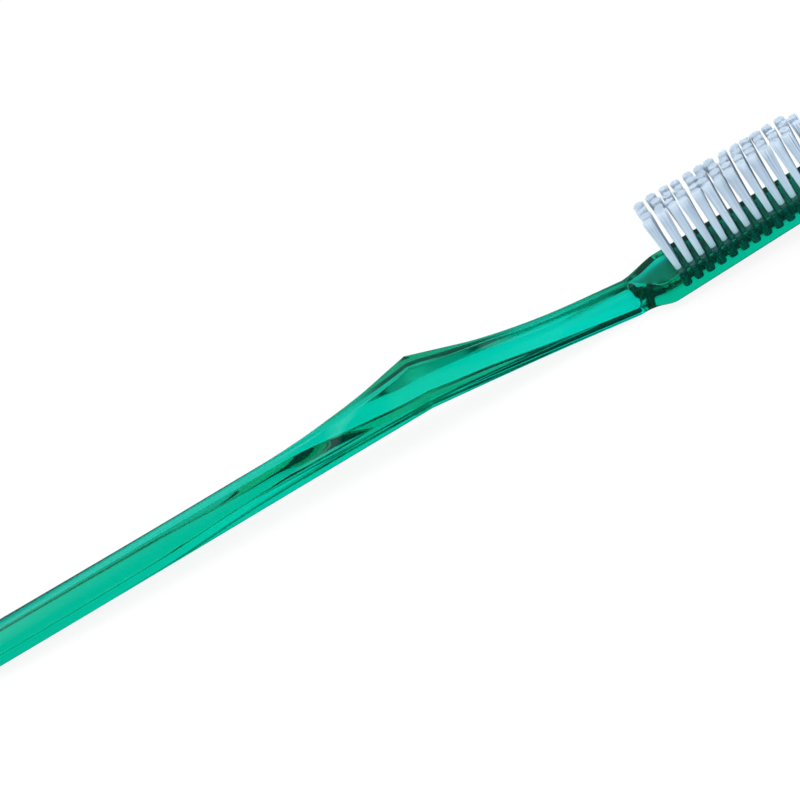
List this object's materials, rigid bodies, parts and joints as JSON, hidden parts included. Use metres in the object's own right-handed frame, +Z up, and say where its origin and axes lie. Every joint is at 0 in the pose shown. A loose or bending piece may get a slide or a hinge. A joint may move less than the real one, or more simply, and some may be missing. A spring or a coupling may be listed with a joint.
{
  "type": "manual toothbrush",
  "caption": "Straight clear plastic handle with a raised thumb crest, a drooping neck and a narrow bored head carrying rows of upright bristle tufts, each pinned by a flat metal anchor.",
  "frame": {"origin": "middle of the brush's length and width, on the ground it lies on", "axes": "+X along the brush towards the head, +Y across it, +Z up towards the bristle tips"},
  "size_m": [0.1902, 0.0124, 0.0175],
  "materials": {
    "clear_green_plastic": "clear, glossy, moulded in one piece",
    "nylon_bristle": "fine satin filaments, nearly white with a blue cast",
    "anchor_metal": "plain flat wire"
  },
  "bodies": {
    "root": {"handle": "clear_green_plastic", "tuft_1_01": "nylon_bristle", "tuft_2_01": "nylon_bristle", "tuft_3_01": "nylon_bristle", "tuft_4_01": "nylon_bristle", "tuft_1_02": "nylon_bristle", "tuft_2_02": "nylon_bristle", "tuft_3_02": "nylon_bristle", "tuft_4_02": "nylon_bristle", "tuft_1_03": "nylon_bristle", "tuft_2_03": "nylon_bristle", "tuft_3_03": "nylon_bristle", "tuft_4_03": "nylon_bristle", "tuft_1_04": "nylon_bristle", "tuft_2_04": "nylon_bristle", "tuft_3_04": "nylon_bristle", "tuft_4_04": "nylon_bristle", "tuft_1_05": "nylon_bristle", "tuft_2_05": "nylon_bristle", "tuft_3_05": "nylon_bristle", "tuft_4_05": "nylon_bristle", "tuft_1_06": "nylon_bristle", "tuft_2_06": "nylon_bristle", "tuft_3_06": "nylon_bristle", "tuft_4_06": "nylon_bristle", "tuft_1_07": "nylon_bristle", "tuft_2_07": "nylon_bristle", "tuft_3_07": "nylon_bristle", "tuft_4_07": "nylon_bristle", "tuft_1_08": "nylon_bristle", "tuft_2_08": "nylon_bristle", "tuft_3_08": "nylon_bristle", "tuft_4_08": "nylon_bristle", "tuft_1_09": "nylon_bristle", "tuft_2_09": "nylon_bristle", "tuft_3_09": "nylon_bristle", "tuft_4_09": "nylon_bristle", "tuft_1_10": "nylon_bristle", "tuft_2_10": "nylon_bristle", "tuft_3_10": "nylon_bristle", "tuft_4_10": "nylon_bristle", "tuft_1_11": "nylon_bristle", "tuft_2_11": "nylon_bristle", "tuft_3_11": "nylon_bristle", "tuft_4_11": "nylon_bristle", "tuft_1_12": "nylon_bristle", "tuft_2_12": "nylon_bristle", "tuft_3_12": "nylon_bristle", "tuft_4_12": "nylon_bristle", "tuft_1_13": "nylon_bristle", "tuft_2_13": "nylon_bristle", "tuft_3_13": "nylon_bristle", "tuft_4_13": "nylon_bristle", "tuft_2_14": "nylon_bristle", "tuft_3_14": "nylon_bristle", "anchors": "anchor_metal"}
  },
  "joints": []
}
